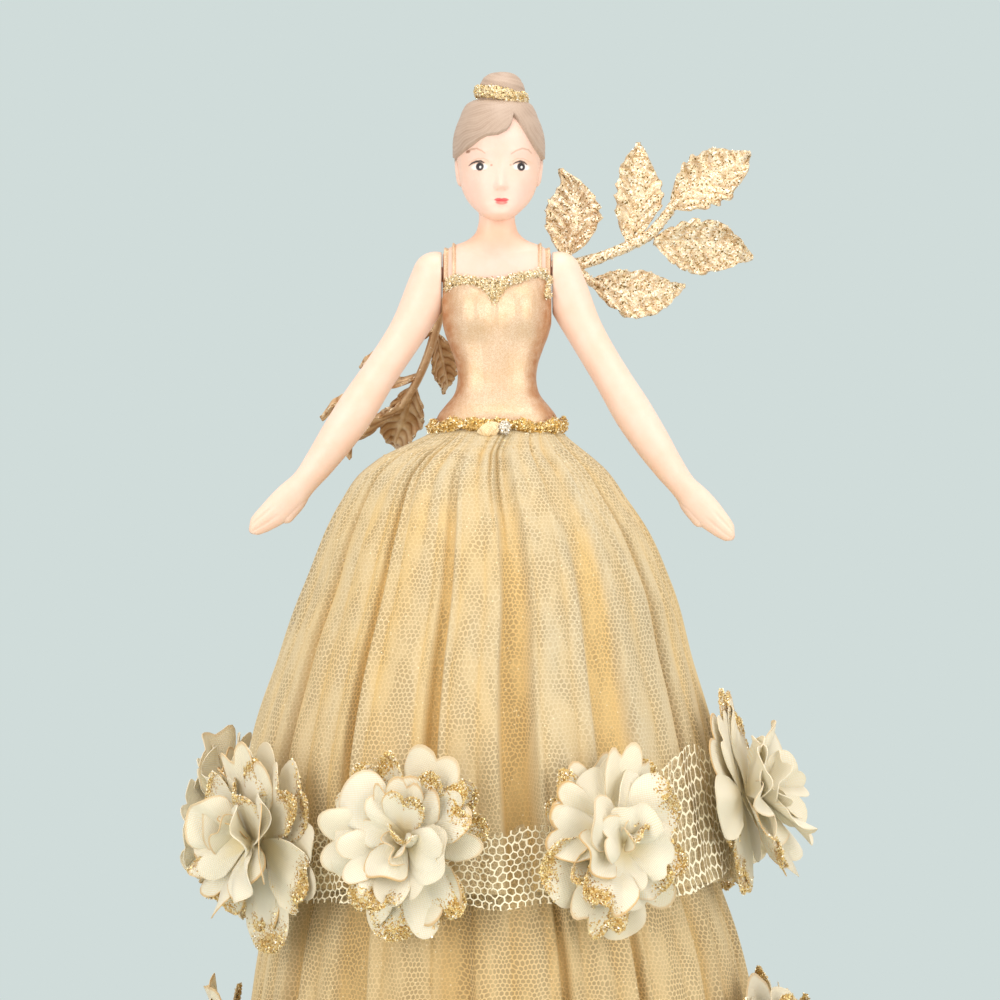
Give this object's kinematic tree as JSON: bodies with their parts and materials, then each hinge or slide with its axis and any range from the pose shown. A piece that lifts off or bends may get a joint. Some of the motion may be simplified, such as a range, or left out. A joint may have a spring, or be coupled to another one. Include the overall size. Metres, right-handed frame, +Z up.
{
  "type": "fairy tree topper",
  "caption": "Fairy doll tree topper in a gold gown on a hollow cone, with pleated tulle skirts, garlands of silk flowers, arms on shoulder pegs and leaf-sprig wings.",
  "frame": {"origin": "On the cone's axis, on the plane that its rim stands on.", "axes": "+Z up along the cone and the doll, -Y the way she faces, +X her left side."},
  "size_m": [0.1718, 0.1719, 0.3],
  "materials": {
    "card": "plain pale card",
    "lining_satin": "thin cream satin lining",
    "old_gold_tulle": "dull gold tulle with glitter specks",
    "gold_tulle": "fine soft gold tulle with glitter specks",
    "cream_net": "cream hexagonal net",
    "petal": "cream chiffon petals with gold glitter edges",
    "gold_paint": "satin metallic gold paint on plastic",
    "skin": "smooth satin pale skin plastic with painted face",
    "hair_paint": "satin taupe paint over moulded strands",
    "gold_glitter": "coarse gold glitter in glue",
    "silver_glitter": "silver white glitter in glue",
    "ribbon": "pale folded ribbon",
    "bronze_leaf": "bronze plastic leaf, gold glitter on the front"
  },
  "bodies": {
    "doll_and_skirts": {"support_cone": "card", "skirt_lining": "lining_satin", "lower_skirt": "old_gold_tulle", "upper_skirt": "gold_tulle", "upper_net_band": "cream_net", "hem_net_band": "cream_net", "upper_flower_1": "petal", "upper_flower_2": "petal", "upper_flower_3": "petal", "upper_flower_4": "petal", "upper_flower_5": "petal", "upper_flower_6": "petal", "upper_flower_7": "petal", "upper_flower_8": "petal", "hem_flower_1": "petal", "hem_flower_2": "petal", "hem_flower_3": "petal", "hem_flower_4": "petal", "hem_flower_5": "petal", "hem_flower_6": "petal", "hem_flower_7": "petal", "hem_flower_8": "petal", "hem_flower_9": "petal", "bodice": "gold_paint", "head_and_shoulders": "skin", "hair": "hair_paint", "bun_band": "gold_glitter", "neckline_trim": "gold_glitter", "left_strap": "gold_paint", "right_strap": "gold_paint", "waist_cord": "gold_glitter", "waist_knot": "ribbon", "waist_bead": "silver_glitter"},
    "left_arm": {"left_arm": "skin"},
    "right_arm": {"right_arm": "skin"},
    "left_wing": {"left_wing": "bronze_leaf"},
    "right_wing": {"right_wing": "bronze_leaf"}
  },
  "joints": [
    {"name": "left_shoulder", "type": "hinge", "parent": "doll_and_skirts", "child": "left_arm", "pos_m": [0.0144, 0, 0.2463], "axis": [-1, 0, 0], "range_deg": [-4, 165]},
    {"name": "right_shoulder", "type": "hinge", "parent": "doll_and_skirts", "child": "right_arm", "pos_m": [-0.0144, 0, 0.2463], "axis": [-1, 0, 0], "range_deg": [-4, 165]},
    {"name": "left_wing_peg", "type": "hinge", "parent": "doll_and_skirts", "child": "left_wing", "pos_m": [0.0108, 0.013, 0.2443], "axis": [0, 1, 0], "range_deg": [-10, 65]},
    {"name": "right_wing_peg", "type": "hinge", "parent": "doll_and_skirts", "child": "right_wing", "pos_m": [-0.0108, 0.013, 0.2443], "axis": [0, 1, 0], "range_deg": [-10, 92]}
  ]
}
